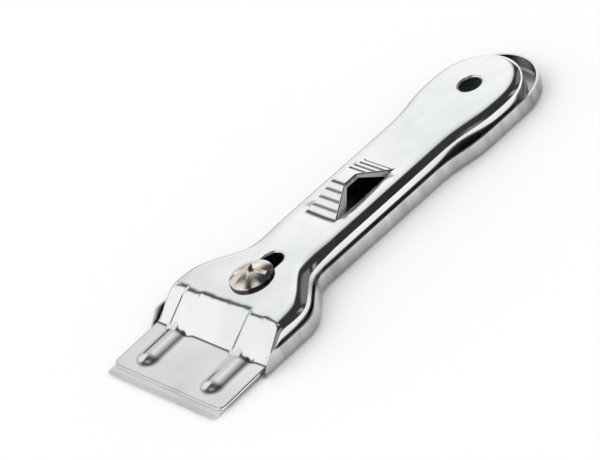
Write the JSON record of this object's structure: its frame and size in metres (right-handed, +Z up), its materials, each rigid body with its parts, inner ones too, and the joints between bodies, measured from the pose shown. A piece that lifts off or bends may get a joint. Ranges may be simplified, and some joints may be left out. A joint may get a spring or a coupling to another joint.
{
  "type": "razor blade scraper",
  "caption": "Flat metal hand scraper: stamped tray base, sliding stamped cover with ribbed thumb bridge, clamping screw and straight replaceable blade.",
  "frame": {"origin": "middle of the overall length and width, on the face that the scraper rests on", "axes": "+Y along the handle away from the blade, +Z up out of the cover, +X across the blade"},
  "size_m": [0.0432, 0.1316, 0.013],
  "materials": {
    "plated_steel": "bright zinc and chrome plate",
    "blade_steel": "ground and fine brushed",
    "nickel": "polished nickel plate",
    "bush_steel": "turned steel"
  },
  "bodies": {
    "base": {"base_shell": "plated_steel", "threaded_bush": "bush_steel"},
    "cover": {"cover_shell": "plated_steel"},
    "blade": {"blade": "blade_steel"},
    "washer": {"clamp_washer": "nickel"},
    "screw": {"clamp_screw": "nickel"}
  },
  "joints": [
    {"name": "cover_slide", "type": "slide", "parent": "base", "child": "cover", "axis": [0, -1, 0], "range_m": [0, 0.007]},
    {"name": "blade_slide", "type": "slide", "parent": "base", "child": "blade", "axis": [0, -0.9994, -0.0349], "range_m": [0, 0.018]},
    {"name": "washer_lift", "type": "slide", "parent": "base", "child": "washer", "axis": [0, 0, 1], "range_m": [0, 0.0035]},
    {"name": "screw_turn", "type": "hinge", "parent": "washer", "child": "screw", "pos_m": [0, -0.0302, 0.0092], "axis": [0, 0, 1], "range_deg": [0, 1800]}
  ],
  "couplings": [
    {"joint": "screw_turn", "follows": "washer_lift", "rad_per_m": 8976}
  ]
}
